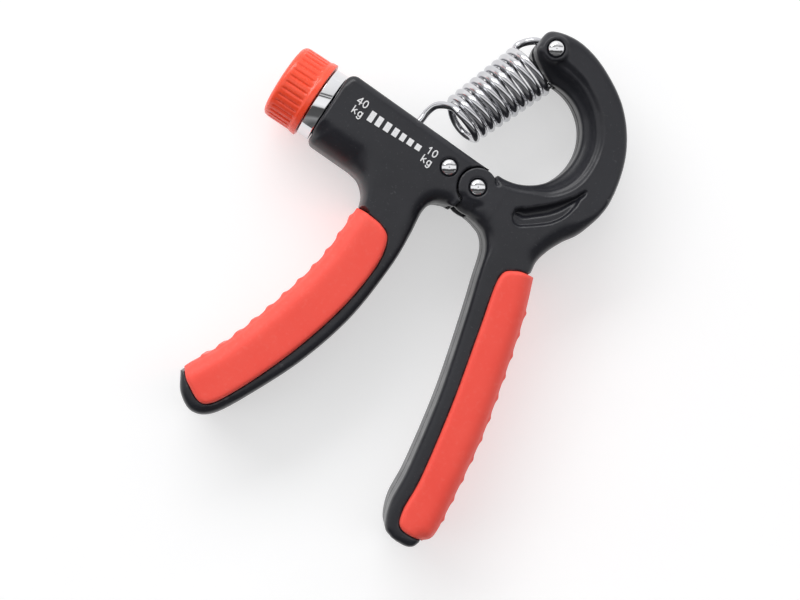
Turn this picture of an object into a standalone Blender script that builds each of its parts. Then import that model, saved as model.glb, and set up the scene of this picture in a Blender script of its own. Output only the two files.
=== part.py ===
"""Adjustable hand grip strengthener, lying on its back with its front face up.

+X runs along the adjusting screw, from the knob towards the pivot, and +Y from the handles
towards the spring. The origin is below the middle of the whole object, at the surface that it
lies on. Outlines are drawn in millimetres from the pivot's axis, with z counted from the plane
where the front and rear shells meet. Every piece hangs from an empty on the axis it turns about.
"""

import math

import bmesh
import bpy
from mathutils import Matrix, Vector

MM = 0.001

# The pivot's axis and the split plane, from the origin of the whole object
PIVOT = (8.95, 21.25, 12.2)

# Heights above the split plane
SHELL_GAP = 0.15
SHELL_Z = 11.2
PAD_Z = 12.2
UNDER_PAD_Z = 9.4
WALL = 2.0
CAVITY_Z = 9.2
HANDLE_CAVITY_Z = 7.4
ARM_CAVITY_Z = 6.2
TONGUE_Z = 4.4
WASHER_Z = (4.6, 5.1)
EAR_Z = 5.3
WEB_Z = 7.8
RIVET_Z = 11.9
COUNTERBORE_Z = 10.4
TIP_FACE_Z = 9.4
TAPER_START, TAPER_END = 6, 60
TIP_BOSS_Z = 10.1
FORK_Z = 1.5
SLOT_Z = 1.6

GAP = 0.3
# Where a cutter ends outside the shells, and how far it starts past the split plane
CLEAR_Z = 13
PAST_SPLIT = 1
SHARP_ANGLE = 30

# Pivot
EAR_R = 5.0
PIN_R = 1.45
HEAD_R = 2.1
CLEAR_R = PIN_R + GAP
COUNTERBORE_R = HEAD_R + GAP
SEAM_ANGLE = -107
SQUEEZE = 32
WEB_R = 6.7
TONGUE_ARC = (-138, 95)
TONGUE_ROOT = [(-7, 4.2), (-7, -3.2)]
EAR_ARC = (62, 298)
EAR_ROOT = [(7, -4.2), (7, 4.4)]
WASHER_R = 4.4
CROWN = [(0, 0), (0.12, 0.9), (0.45, HEAD_R - 0.35)]

# Barrel and adjuster
BARREL_END = -43.5
SCREW_Y = -3.4
SCREW_R = 2.9
CAVITY_LEFT, CAVITY_RIGHT = -39.8, -13.5
CAVITY_LOW, CAVITY_TOP = -11.6, 4.2
END_FLOOR = BARREL_END + 1.7
SPIGOT_R = 8.0
COLLAR_R = 10.0
COLLAR_BORE = 6.0
HUB_R = 5.5
BUSH_R = 4.0
KNOB_FLANGE_R, KNOB_R = 10.9, 10.4
KNOB_INNER, KNOB_STEP, KNOB_RIM, KNOB_END = -47.6, -49.3, -56.9, -58.2
JOURNAL_R = 2.2
KNOB_POCKET_DEPTH = 4.4
SCREW_HEAD_R = 5.0
JOURNAL_START, JOURNAL_END = -14.2, -10.9
CLIP_THICKNESS = 0.7
BARREL_RIVET = (-9.0, 0.2)
RIVET_UNDER_HEAD = 10.7

# Bearing block, travelling nut and the slot that the spring passes through
BLOCK = (-13.4, -8.1, -6.4, 3.5)
BLOCK_Z = 6.5
SLOT = (-34.4, 3, -16.5, 9)
NUT_HALF_LENGTH = 3.8
CHEEK_Z = 5.2
PIN_Z = 4.8

# Spring, its upper pin and its anchor in the nut
ANCHOR = (-21.35, 2.6)
ANCHOR_R = 0.75
SPRING_PIN = (-2.8, 41.0)
SPRING_PIN_R = 1.2
COIL_LOW = Vector((-12.8, 12.4, 0))
COIL_HIGH = Vector((-5.8, 34.4, 0))
COIL_R = 6.95
WIRE_R = 1.0
UPPER_SHARE = 0.62

# Self-tapping screws that close the shells
TAPPER_R = 1.0
TAPPER_HEAD_R = 2.1
TAPPER_HEAD_Z, TAPPER_UNDER_Z, TAPPER_END_Z = -9.1, -8.1, 4.6
TAPPER_SEAT_Z = 7.8
TAPPER_HOLE_Z = 6.2
BOSS_R = 2.7
LEFT_SCREWS = {"left_upper_screw": (-13.8, -33.0), "left_lower_screw": (-25.2, -74.0)}
RIGHT_SCREWS = {"right_upper_screw": (22.5, -24.0), "right_lower_screw": (31.4, -72.0)}
ARM_SCREW = (23.2, 19.0)

# The round space inside the hook
HOOK_CENTRE = (3.2, 19.8)
HOOK_R = 14.1


# Outlines


def arc(centre, radius, start, end, step=14.0):
    """Points on an arc, with angles in degrees."""
    count = max(2, round(abs(end - start) / step))
    angles = [math.radians(start + (end - start) * i / count) for i in range(count + 1)]
    return [(centre[0] + radius * math.cos(a), centre[1] + radius * math.sin(a)) for a in angles]


def smooth(points, steps=3):
    """Points on a smooth curve through the given points."""
    first = [2 * a - b for a, b in zip(points[0], points[1])]
    last = [2 * a - b for a, b in zip(points[-1], points[-2])]
    ends = [Vector(p) for p in (first, *points, last)]
    curve = []
    for a, b, c, d in zip(ends, ends[1:], ends[2:], ends[3:]):
        for i in range(steps):
            t = i / steps
            curve.append(
                0.5 * (2 * b + (c - a) * t + (2 * a - 5 * b + 4 * c - d) * t**2
                       + (3 * b - a - 3 * c + d) * t**3)
            )
    return [tuple(p) for p in curve] + [tuple(points[-1])]


def signed_area(points):
    pairs = zip(points, points[1:] + points[:1])
    return sum(a[0] * b[1] - b[0] * a[1] for a, b in pairs) / 2


def offset(points, distance):
    """The outline moved outwards by the distance, or inwards where it is negative."""
    if signed_area(points) < 0:
        points = points[::-1]
    moved = []
    for before, here, after in zip(points[-1:] + points[:-1], points, points[1:] + points[:1]):
        ahead = (Vector(after) - Vector(here)).normalized()
        behind = (Vector(here) - Vector(before)).normalized()
        normal = Vector((ahead.y + behind.y, -ahead.x - behind.x)).normalized()
        side = Vector((ahead.y, -ahead.x))
        moved.append(tuple(Vector(here) + normal * distance / max(0.5, normal.dot(side))))
    return moved


def rectangle(left, low, right, top):
    return [(left, low), (right, low), (right, top), (left, top)]


def hollow(left, right, low, top):
    """The room inside a handle, a wall's width in from the curves of its two sides."""
    sides = [[(x + WALL, y) for x, y in left], [(x - WALL, y) for x, y in right]]
    kept = [sorted((p for p in side if low < p[1] < top), key=lambda p: p[1]) for side in sides]
    return kept[0] + kept[1][::-1]


def sector(inner, outer, start, end):
    """A ring segment about the pivot."""
    return arc((0, 0), outer, start, end) + arc((0, 0), inner, end, start)


LEFT_INNER = smooth(
    [(-4.6, -8.1), (-7.3, -9.6), (-8.3, -13), (-7.6, -20), (-7.3, -30), (-8.7, -46), (-13, -62),
     (-19.5, -77), (-24.6, -86.2), (-29.6, -88.9), (-34.6, -86.5), (-37.9, -81.6)]
)
LEFT_CORE = smooth([(-35.2, -80.2), (-32, -72.5), (-26.8, -61), (-23.2, -50), (-20.6, -37), (-20, -21)])
RIGHT_INNER = smooth(
    [(4.7, -7.8), (7.9, -9.0), (10.7, -12.5), (13, -20), (16, -30), (21.3, -50), (25, -70),
     (26, -80), (28.4, -86), (31, -87.4)]
)
RIGHT_CORE = smooth([(37.2, -82), (36.4, -72), (33.7, -53), (29.7, -36), (25.6, -20.8), (22.5, -12.6)])
ARM_OUTER = smooth(
    [(-8, 39.5), (-6.2, 44.6), (1.3, 46.4), (10.4, 44.2), (20.5, 38), (27.6, 28.3), (30.8, 15.7),
     (29.1, 5.6), (25.6, 1), (24.3, -2.5), (23.4, -7), (23.8, -10.8)]
)
LEFT_PAD = (
    smooth([(-20, -21.2), (-15, -21.9), (-11.8, -24.4), (-10.5, -32), (-12, -45.5), (-16.5, -62),
            (-23, -78), (-28, -85.2), (-34, -83.2), (-37.7, -80.2)])
    + smooth([(-32, -68.6), (-26.4, -50.5), (-23.4, -36), (-23, -21.3)])
)
RIGHT_PAD = (
    smooth([(25, -11.2), (20, -12.6), (17.4, -16.5), (20.5, -30), (25.3, -50), (29, -70), (29.8, -80),
            (32, -84), (38.4, -84)])
    + smooth([(40.3, -81), (39.5, -72), (36.7, -53), (32.7, -36), (28.6, -21)])
)
CRESCENT = (
    arc((13.5, 0), 1.9, 100, 290, 24)
    + smooth([(18, 0.7), (21, 3.6), (23, 7.6), (24, 14.5)])
    + smooth([(22.3, 11.6), (18.8, 7.3), (15, 3.6)])
)
TIP_FORK = [(-10, 31), (1.6, 31), (2.2, 35), (2.4, 48), (-10, 48)]
CRESCENT_DEPTH = 1.6
TIP_BOSS_R = 3.8
TIP_SEAT_Z = TIP_BOSS_Z - 0.8


def left_outline():
    """The barrel and the left handle, without the pad."""
    return (
        arc((BARREL_END + 2.5, 4.3), 2.5, 180, 90, 20)
        + smooth([(-20, 6.1), (-2, 5.5), (0.28, 5.78)], 3)
        + arc((0, 0), EAR_R + GAP, 87, 360 + SEAM_ANGLE)
        + [(-2.3, -7.55)]
        + LEFT_INNER
        + LEFT_CORE
        + [(-22.8, -20.8), (-24, -18), (-26.8, -15.5), (-30, -14.7)]
        + arc((BARREL_END + 1.6, -12.8), 1.6, 270, 180, 30)
    )


def right_outline():
    """The hook arm and the right handle, without the pad."""
    top_angle = 62
    foot_angle = SEAM_ANGLE + SQUEEZE + 1
    return (
        arc((0, 0), EAR_R + GAP, top_angle, foot_angle)
        + [(2.1, -7.4)]
        + RIGHT_INNER
        + smooth([(33, -87.4), (37.6, -87.3), (39, -85.6), (39, -84.4)], 3)
        + RIGHT_CORE
        + ARM_OUTER[::-1]
        + smooth([(-8.1, 38.4), (-6, 36.7), (-2, 35.0)], 3)
        + arc(HOOK_CENTRE, HOOK_R, 97, -92)
    )


def arm_channel():
    """The room inside the hook arm, between its inner circle and its outer curve."""
    middle = Vector(HOOK_CENTRE)
    rays = [Vector(p) - middle for p in ARM_OUTER if p[0] > 9 and p[1] > 2]
    outer = [tuple(middle + ray * (1 - 1.5 * WALL / ray.length)) for ray in rays]
    return arc(HOOK_CENTRE, HOOK_R + 1.3 * WALL, 70, -55) + outer[::-1]


# Making objects

EMPTIES = {}


def clear_scene():
    for obj in list(bpy.data.objects):
        bpy.data.objects.remove(obj)


def axis_empty(name, point, parent=None):
    """An empty at a point given from the pivot, on the axis of a moving body."""
    empty = bpy.data.objects.new(f"{name}_axis", None)
    bpy.context.scene.collection.objects.link(empty)
    base = EMPTIES[parent]["point"] if parent else [-p for p in PIVOT]
    empty.parent = EMPTIES[parent]["empty"] if parent else None
    empty.location = [(a - b) * MM for a, b in zip(point, base)]
    EMPTIES[name] = {"empty": empty, "point": point}


def material(name, colour, roughness, metallic=0.0):
    made = bpy.data.materials.new(name)
    made.use_nodes = True
    shader = made.node_tree.nodes["Principled BSDF"]
    shader.inputs["Base Color"].default_value = (*colour, 1)
    shader.inputs["Roughness"].default_value = roughness
    shader.inputs["Metallic"].default_value = metallic
    return made


def add_object(name, mesh_data, body, finish=None):
    obj = bpy.data.objects.new(name, mesh_data)
    bpy.context.scene.collection.objects.link(obj)
    obj.parent = EMPTIES[body]["empty"]
    obj.location = [-p * MM for p in EMPTIES[body]["point"]]
    if finish:
        obj.data.materials.append(finish)
    return obj


def mesh_from(name, mesh, body, finish):
    bmesh.ops.recalc_face_normals(mesh, faces=mesh.faces)
    data = bpy.data.meshes.new(name)
    mesh.to_mesh(data)
    mesh.free()
    data.shade_smooth()
    data.set_sharp_from_angle(angle=math.radians(SHARP_ANGLE))
    return add_object(name, data, body, finish)


def prism(name, outline, low, high, body, finish=None):
    """A straight block with the given outline, from one height to another."""
    mesh = bmesh.new()
    base = [mesh.verts.new((x * MM, y * MM, low * MM)) for x, y in outline]
    face = mesh.faces.new(base)
    top = bmesh.ops.extrude_face_region(mesh, geom=[face])["geom"]
    raised = [v for v in top if isinstance(v, bmesh.types.BMVert)]
    bmesh.ops.translate(mesh, verts=raised, vec=(0, 0, (high - low) * MM))
    return mesh_from(name, mesh, body, finish)


def turned(name, profile, centre, direction, body, finish=None, segments=32, ring=False):
    """A turned piece. The profile holds (distance along the axis, radius) pairs."""
    mesh = bmesh.new()
    rows = []
    for along, radius in profile:
        count = segments if radius > 0 else 1
        angles = [2 * math.pi * i / segments for i in range(count)]
        rows.append(
            [mesh.verts.new((radius * math.cos(a), radius * math.sin(a), along)) for a in angles]
        )
    for row, after in zip(rows, rows[1:] + (rows[:1] if ring else [])):
        for i in range(segments):
            j = (i + 1) % segments
            corners = [row[i % len(row)], row[j % len(row)], after[j % len(after)], after[i % len(after)]]
            mesh.faces.new(dict.fromkeys(corners))
    turn = Vector(direction).to_track_quat("Z", "Y").to_matrix().to_4x4()
    move = Matrix.Translation(Vector(centre) * MM)
    bmesh.ops.transform(mesh, matrix=move @ turn @ Matrix.Scale(MM, 4), verts=mesh.verts)
    return mesh_from(name, mesh, body, finish)


def rod(name, radius, start, end, centre, direction, body, finish=None, segments=32):
    profile = [(start, 0), (start, radius), (end, radius), (end, 0)]
    return turned(name, profile, centre, direction, body, finish, segments)


def tube_ring(name, inner, outer, start, end, centre, direction, body, finish=None, segments=32):
    profile = [(start, inner), (start, outer), (end, outer), (end, inner)]
    return turned(name, profile, centre, direction, body, finish, segments, ring=True)


def wire(name, points, body, finish):
    curve = bpy.data.curves.new(name, "CURVE")
    curve.dimensions = "3D"
    curve.bevel_depth = WIRE_R * MM
    curve.bevel_resolution = 3
    curve.use_fill_caps = True
    spline = curve.splines.new("POLY")
    spline.points.add(len(points) - 1)
    for point, (x, y) in zip(spline.points, points):
        point.co = (x * MM, y * MM, 0, 1)
    return add_object(name, curve, body, finish)


def combine(obj, other, operation):
    other.hide_render = True
    other.display_type = "WIRE"
    modifier = obj.modifiers.new(other.name, "BOOLEAN")
    modifier.operation = operation
    modifier.object = other


def cut(obj, other):
    combine(obj, other, "DIFFERENCE")


def add(obj, other):
    combine(obj, other, "UNION")


# Shells


def cut_hole(shell, point, radius, low, high, body):
    name = f"{shell.name}_hole_{len(shell.modifiers)}"
    cut(shell, rod(name, radius, low, high, (*point, 0), (0, 0, 1), body, segments=24))


def cut_stepped(shell, point, steps, body):
    """One hole whose radius changes with height. Steps are (height, radius) pairs."""
    name = f"{shell.name}_hole_{len(shell.modifiers)}"
    profile = [(steps[0][0], 0), *steps, (steps[-1][0], 0)]
    cut(shell, turned(name, profile, (*point, 0), (0, 0, 1), body, segments=24))


def cut_rivet_hole(shell, point, shank, seat, side, body):
    """A hole for a rivet, with a round recess for its head."""
    low, seat, high = -side * PAST_SPLIT, side * seat, side * CLEAR_Z
    steps = [(low, shank), (seat, shank), (seat, COUNTERBORE_R), (high, COUNTERBORE_R)]
    cut_stepped(shell, point, steps, body)


def cut_outline(shell, outline, low, high, body):
    cut(shell, prism(f"{shell.name}_cut_{len(shell.modifiers)}", outline, low, high, body))


def add_outline(shell, outline, low, high, body):
    add(shell, prism(f"{shell.name}_add_{len(shell.modifiers)}", outline, low, high, body))


def cut_room(shell, outline, side, depth, posts, body):
    """Hollows a shell, leaving a post for each screw. The rear posts take the heads."""
    low, high = -side * PAST_SPLIT, side * CLEAR_Z
    room = prism(f"{shell.name}_room_{len(shell.modifiers)}", outline, low, side * depth, body)
    for point in posts:
        name = f"{room.name}_post_{len(room.modifiers)}"
        cut(room, rod(name, BOSS_R, 3 * low, high, (*point, 0), (0, 0, 1), body, segments=20))
    cut(shell, room)
    shank, head, seat = TAPPER_R + GAP, TAPPER_HEAD_R + GAP, side * TAPPER_SEAT_Z
    for point in posts:
        if side > 0:
            cut_hole(shell, point, shank, low, TAPPER_HOLE_Z, body)
        else:
            cut_stepped(shell, point, [(low, shank), (seat, shank), (seat, head), (high, head)], body)


def barrel_shell(name, side, finish):
    body = "barrel_handle"
    shell = prism(name, left_outline(), side * SHELL_GAP, side * SHELL_Z, body, finish)
    low, high = -side * PAST_SPLIT, side * CLEAR_Z
    tongue = arc((0, 0), EAR_R, *TONGUE_ARC) + TONGUE_ROOT
    add_outline(shell, tongue, side * SHELL_GAP, side * TONGUE_Z, body)
    barrel = rectangle(CAVITY_LEFT, CAVITY_LOW, CAVITY_RIGHT, CAVITY_TOP)
    cut_outline(shell, barrel, low, side * CAVITY_Z, body)
    block = offset(rectangle(*BLOCK), GAP)
    cut_outline(shell, block, low, side * (BLOCK_Z + GAP), body)
    cut_outline(shell, rectangle(*SLOT), low, side * SLOT_Z, body)
    pocket = sector(EAR_R, WEB_R + GAP, SEAM_ANGLE + 8, SEAM_ANGLE - SQUEEZE - 1.5)
    cut_outline(shell, pocket, low, side * (WEB_Z + GAP), body)
    room = hollow(LEFT_CORE, LEFT_INNER, -78, -24)
    cut_room(shell, room, side, HANDLE_CAVITY_Z, LEFT_SCREWS.values(), body)
    for reach, radius in ((END_FLOOR, SPIGOT_R + GAP), (CAVITY_LEFT + 1, BUSH_R + GAP)):
        seat = rod(f"{name}_seat_{reach:.0f}", radius, BARREL_END - 2, reach, (0, SCREW_Y, 0), (1, 0, 0), body)
        cut(shell, seat)
    cut_outline(shell, offset(LEFT_PAD, GAP), side * UNDER_PAD_Z, high, body)
    cut_hole(shell, (0, 0), CLEAR_R, -CLEAR_Z, CLEAR_Z, body)
    cut_rivet_hole(shell, BARREL_RIVET, CLEAR_R, COUNTERBORE_Z, side, body)
    return shell


def hook_shell(name, side, finish):
    body = "hook_handle"
    shell = prism(name, right_outline(), side * SHELL_GAP, side * SHELL_Z, body, finish)
    fall = (SHELL_Z - TIP_FACE_Z) / (SPRING_PIN[1] - TAPER_START)
    slope = [(y, side * (SHELL_Z - fall * (y - TAPER_START))) for y in (TAPER_START, TAPER_END)]
    above = [(y, side * CLEAR_Z) for y in (TAPER_END, TAPER_START)]
    taper = prism(f"{name}_taper", slope + above, -TAPER_END, TAPER_END, body)
    taper.data.transform(Matrix(((0, 0, 1, 0), (1, 0, 0, 0), (0, 1, 0, 0), (0, 0, 0, 1))))
    cut(shell, taper)
    ear = arc((0, 0), EAR_R, *EAR_ARC) + EAR_ROOT
    add_outline(shell, ear, side * EAR_Z, side * SHELL_Z, body)
    web = sector(EAR_R + GAP, WEB_R, SEAM_ANGLE + SQUEEZE + 5, SEAM_ANGLE)
    add_outline(shell, web, side * SHELL_GAP, side * WEB_Z, body)
    room = hollow(RIGHT_INNER, RIGHT_CORE, -81, -15)
    cut_room(shell, room, side, HANDLE_CAVITY_Z, RIGHT_SCREWS.values(), body)
    cut_room(shell, arm_channel(), side, ARM_CAVITY_Z, [ARM_SCREW], body)
    cut_outline(shell, TIP_FORK, -side * 2 * PAST_SPLIT, side * FORK_Z, body)
    low, high = side * ARM_CAVITY_Z, side * TIP_BOSS_Z
    boss = rod(f"{name}_tip_boss", TIP_BOSS_R, low, high, (*SPRING_PIN, 0), (0, 0, 1), body, segments=24)
    add(shell, boss)
    cut_outline(shell, offset(RIGHT_PAD, GAP), side * UNDER_PAD_Z, side * CLEAR_Z, body)
    cut_outline(shell, CRESCENT, side * (SHELL_Z - CRESCENT_DEPTH), side * CLEAR_Z, body)
    cut_rivet_hole(shell, (0, 0), CLEAR_R, COUNTERBORE_Z, side, body)
    cut_rivet_hole(shell, SPRING_PIN, SPRING_PIN_R + GAP, TIP_SEAT_Z, side, body)
    return shell


def grip_pad(name, outline, shell_outline, body, finish):
    """A pad whose C section wraps the handle, with the shell's outer edge inside it."""
    pad = prism(name, outline, -PAD_Z, PAD_Z, body, finish)
    inside = UNDER_PAD_Z + GAP
    cut(pad, prism(f"{name}_inside", offset(shell_outline, GAP), -inside, inside, body))


# Fasteners


def rivet(name, point, shank, head_top, seat, body, finish):
    """A rivet through both shells, with a low domed head at each end."""
    top = [(head_top - drop, radius) for drop, radius in CROWN] + [(seat, HEAD_R), (seat, shank)]
    profile = [(-along, radius) for along, radius in top] + top[::-1]
    turned(name, profile, (*point, 0), (0, 0, 1), body, finish, 24)


def self_tapper(name, point, body, finish):
    """A screw driven in from the rear, with its head below the surface."""
    profile = [(TAPPER_HEAD_Z, 0), (TAPPER_HEAD_Z, TAPPER_HEAD_R), (TAPPER_UNDER_Z, TAPPER_HEAD_R),
               (TAPPER_UNDER_Z, TAPPER_R), (TAPPER_END_Z, TAPPER_R), (TAPPER_END_Z + TAPPER_R, 0)]
    turned(name, profile, (*point, 0), (0, 0, 1), body, finish, 16)


# Adjuster


def make_adjuster(orange, chrome, steel, nylon):
    centre, along = (0, SCREW_Y, 0), (1, 0, 0)
    hub_end = BARREL_END - 0.1
    pocket_end, pocket_start = KNOB_INNER - KNOB_POCKET_DEPTH, KNOB_INNER - 0.2
    knob = [
        (KNOB_END, 0), (KNOB_END + 0.15, 5.0), (KNOB_END + 0.7, 8.6), (KNOB_RIM + 0.5, KNOB_R - 0.2),
        (KNOB_RIM + 1.2, KNOB_R), (KNOB_STEP, KNOB_R), (KNOB_STEP + 0.3, KNOB_FLANGE_R),
        (KNOB_INNER, KNOB_FLANGE_R), (KNOB_INNER, HUB_R), (hub_end, HUB_R), (hub_end, SCREW_R + GAP),
        (pocket_start, SCREW_R + GAP), (pocket_start, SCREW_HEAD_R + GAP), (pocket_end, SCREW_HEAD_R + GAP),
        (pocket_end, 0),
    ]
    turned("adjuster_knob", knob, centre, along, "adjuster", orange, 48)
    screw = [
        (pocket_end + GAP, 0), (pocket_end + GAP, SCREW_HEAD_R), (pocket_start - GAP, SCREW_HEAD_R),
        (pocket_start - GAP, SCREW_R), (JOURNAL_START, SCREW_R), (JOURNAL_START, JOURNAL_R),
        (JOURNAL_END, JOURNAL_R), (JOURNAL_END, 0),
    ]
    turned("adjusting_screw", screw, centre, along, "adjuster", steel, 24)
    bore = SCREW_R + GAP
    washer = (hub_end + 0.3, hub_end + 0.8)
    tube_ring("thrust_washer", bore, HUB_R, *washer, centre, along, "adjuster", steel)
    clip = (CAVITY_LEFT + 3 * GAP, CAVITY_LEFT + 3 * GAP + CLIP_THICKNESS)
    tube_ring("retaining_clip", bore, SCREW_HEAD_R, *clip, centre, along, "adjuster", steel, 24)
    flange = (washer[1] + 0.3, END_FLOOR - GAP)
    bush = [(flange[0], bore), (flange[0], HUB_R), (flange[1], HUB_R), (flange[1], BUSH_R),
            (CAVITY_LEFT + 0.4, BUSH_R), (CAVITY_LEFT + 0.4, bore)]
    turned("screw_bush", bush, centre, along, "barrel_handle", nylon, 32, ring=True)
    face = BARREL_END - GAP
    collar = [(KNOB_INNER + GAP, COLLAR_BORE), (KNOB_INNER + GAP, COLLAR_R), (face, COLLAR_R),
              (face, SPIGOT_R), (END_FLOOR - GAP, SPIGOT_R), (END_FLOOR - GAP, COLLAR_BORE)]
    turned("chrome_collar", collar, centre, along, "barrel_handle", chrome, 48, ring=True)


def make_bearing_block(finish):
    body = "barrel_handle"
    block = prism("bearing_block", rectangle(*BLOCK), -BLOCK_Z, BLOCK_Z, body, finish)
    bore = (JOURNAL_R + GAP, JOURNAL_START, JOURNAL_END + GAP)
    cut(block, rod("block_bore", *bore, (0, SCREW_Y, 0), (1, 0, 0), body, segments=24))
    cut_hole(block, BARREL_RIVET, CLEAR_R, -CLEAR_Z, CLEAR_Z, body)


def make_nut(finish, steel):
    """The nut fills the barrel's channel, so it can't turn. Two cheeks carry the anchor pin."""
    body = "nut"
    x, y = ANCHOR
    left, right = x - NUT_HALF_LENGTH, x + NUT_HALF_LENGTH
    outline = rectangle(left, CAVITY_LOW + GAP, right, CAVITY_TOP - GAP)
    nut = prism("travelling_nut", outline, -CAVITY_Z + GAP, CAVITY_Z - GAP, body, finish)
    bore = (SCREW_R + GAP, left - 1, right + 1)
    cut(nut, rod("nut_bore", *bore, (0, SCREW_Y, 0), (1, 0, 0), body, segments=24))
    cut_outline(nut, rectangle(left - 1, SCREW_Y + 2, right + 1, 6), -SLOT_Z, SLOT_Z, body)
    for side in (-1, 1):
        step = rectangle(left - 1, SCREW_Y + 4.2, right + 1, 6)
        cut_outline(nut, step, side * CHEEK_Z, side * CLEAR_Z, body)
    cut_hole(nut, ANCHOR, ANCHOR_R + GAP, -CLEAR_Z, CLEAR_Z, body)
    rod("anchor_pin", ANCHOR_R, -PIN_Z, PIN_Z, (x, y, 0), (0, 0, 1), body, steel, 16)


# Spring


def make_spring(finish):
    axis = (COIL_HIGH - COIL_LOW).normalized()
    length = (COIL_HIGH - COIL_LOW).length
    split = length * (1 - UPPER_SHARE)
    bore = COIL_R - 2 * WIRE_R
    for name, body, start, end in (
        ("spring_coils_lower", "spring_lower", -WIRE_R, split - 0.15),
        ("spring_coils_upper", "spring_middle", split + 0.15, length + WIRE_R),
    ):
        tube_ring(name, bore, COIL_R, start, end, COIL_LOW, axis, body, finish, 40)
    x, y = SPRING_PIN
    around = arc((x, y), SPRING_PIN_R + WIRE_R + 0.25, 125, -50, 20)
    top = smooth([(-10.7, 38.6), (-9.8, 40.4), (-7.6, 42.0), around[0]], 3)
    wire("spring_top_hook", top[:-1] + around, "spring_upper", finish)
    x, y = ANCHOR
    around = arc((x, y), ANCHOR_R + WIRE_R + 0.2, 160, 350, 22)
    leg = smooth([(x + 0.1, y + 11.4), (x, y + 8), (x - 0.4, y + 4.2), around[0]], 4)
    wire("spring_leg", leg[:-1] + around, "spring_leg", finish)


def main():
    clear_scene()
    black = material("black_plastic", (0.045, 0.046, 0.052), 0.42)
    orange = material("orange_pad", (0.88, 0.12, 0.075), 0.55)
    gloss = material("orange_knob", (0.90, 0.085, 0.045), 0.28)
    chrome = material("chrome", (0.80, 0.81, 0.83), 0.12, 1.0)
    steel = material("zinc_steel", (0.55, 0.56, 0.58), 0.32, 1.0)
    nylon = material("white_nylon", (0.78, 0.77, 0.73), 0.45)

    axis_empty("barrel_handle", (0, 0, 0))
    axis_empty("hook_handle", (0, 0, 0), "barrel_handle")
    axis_empty("adjuster", (BARREL_END, SCREW_Y, 0), "barrel_handle")
    axis_empty("nut", (*ANCHOR, 0), "barrel_handle")
    axis_empty("spring_upper", (*SPRING_PIN, 0), "hook_handle")
    axis_empty("spring_middle", tuple(COIL_HIGH), "spring_upper")
    axis_empty("spring_lower", tuple(COIL_LOW), "spring_middle")
    axis_empty("spring_leg", tuple(COIL_LOW), "spring_lower")

    for face, side in (("front", 1), ("rear", -1)):
        barrel_shell(f"barrel_{face}_shell", side, black)
        hook_shell(f"hook_{face}_shell", side, black)
        low, high = (side * z for z in WASHER_Z)
        name = f"pivot_washer_{face}"
        tube_ring(name, CLEAR_R, WASHER_R, low, high, (0, 0, 0), (0, 0, 1), "barrel_handle", nylon, 24)
    grip_pad("left_grip_pad", LEFT_PAD, left_outline(), "barrel_handle", orange)
    grip_pad("right_grip_pad", RIGHT_PAD, right_outline(), "hook_handle", orange)

    for name, point in (("pivot_rivet", (0, 0)), ("barrel_rivet", BARREL_RIVET)):
        rivet(name, point, PIN_R, RIVET_Z, RIVET_UNDER_HEAD, "barrel_handle", chrome)
    tip_heights = (RIVET_Z - COUNTERBORE_Z + TIP_SEAT_Z, RIVET_UNDER_HEAD - COUNTERBORE_Z + TIP_SEAT_Z)
    rivet("spring_rivet", SPRING_PIN, SPRING_PIN_R, *tip_heights, "hook_handle", chrome)
    for name, point in LEFT_SCREWS.items():
        self_tapper(name, point, "barrel_handle", steel)
    for name, point in (RIGHT_SCREWS | {"hook_arm_screw": ARM_SCREW}).items():
        self_tapper(name, point, "hook_handle", steel)

    make_adjuster(gloss, chrome, steel, nylon)
    make_bearing_block(nylon)
    make_nut(nylon, steel)
    make_spring(chrome)


main()
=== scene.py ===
"""Looks of the adjustable hand grip strengthener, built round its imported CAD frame.

Shapes are drawn in millimetres from the pivot's axis, with z counted from the plane where the
front and rear shells meet, and are placed by the CAD's own pivot. The moulded pieces are level
surfaces of fields on a fine grid: an outline's distance gives the walls, and a height map over
x and y gives the rounded face. A field is negative inside the solid, and about the distance from
its surface. k is the size, in millimetres, of the blend where two surfaces meet.
"""

import math

import bpy
import numpy as np
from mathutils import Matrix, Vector


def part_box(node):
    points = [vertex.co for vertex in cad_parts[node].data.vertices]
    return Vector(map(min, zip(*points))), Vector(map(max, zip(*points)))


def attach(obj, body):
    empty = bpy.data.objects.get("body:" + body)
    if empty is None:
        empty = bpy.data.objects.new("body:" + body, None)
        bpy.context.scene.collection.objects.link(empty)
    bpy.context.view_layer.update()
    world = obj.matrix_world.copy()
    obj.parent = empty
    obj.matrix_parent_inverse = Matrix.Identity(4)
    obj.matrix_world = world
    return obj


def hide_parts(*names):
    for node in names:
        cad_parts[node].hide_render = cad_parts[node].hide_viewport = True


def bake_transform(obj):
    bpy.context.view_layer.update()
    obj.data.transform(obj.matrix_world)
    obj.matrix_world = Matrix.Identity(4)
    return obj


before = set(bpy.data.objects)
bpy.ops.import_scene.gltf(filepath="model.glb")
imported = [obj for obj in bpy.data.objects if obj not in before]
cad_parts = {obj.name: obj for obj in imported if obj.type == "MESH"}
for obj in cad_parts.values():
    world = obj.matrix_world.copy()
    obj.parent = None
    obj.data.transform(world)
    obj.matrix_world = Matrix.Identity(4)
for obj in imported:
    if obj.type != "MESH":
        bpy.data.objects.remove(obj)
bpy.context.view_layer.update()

low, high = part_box("pivot_rivet")
PIVOT = (low + high) / 2
MM = 0.001
DEGREE = math.radians(1)

# Heights above the split plane. BARREL_DROP is how much lower the barrel's face lies.
SHELL_Z = 11.2
BARREL_DROP = 0.15
PARTING_Z = 0.08
PAD_Z = 12.2
UNDER_PAD_Z = 9.4
CAVITY_Z = 9.2
TONGUE_Z = 4.4
EAR_Z = 5.3
RIVET_Z = 11.9
COUNTERBORE_Z = 10.4
TIP_BOSS_Z = 9.8
TIP_SEAT_Z = 9.3
TIP_RIVET_Z = 10.8
FORK_Z = 1.5
SLOT_Z = 1.6
SCREW_SEAT_Z = 7.8

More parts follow.
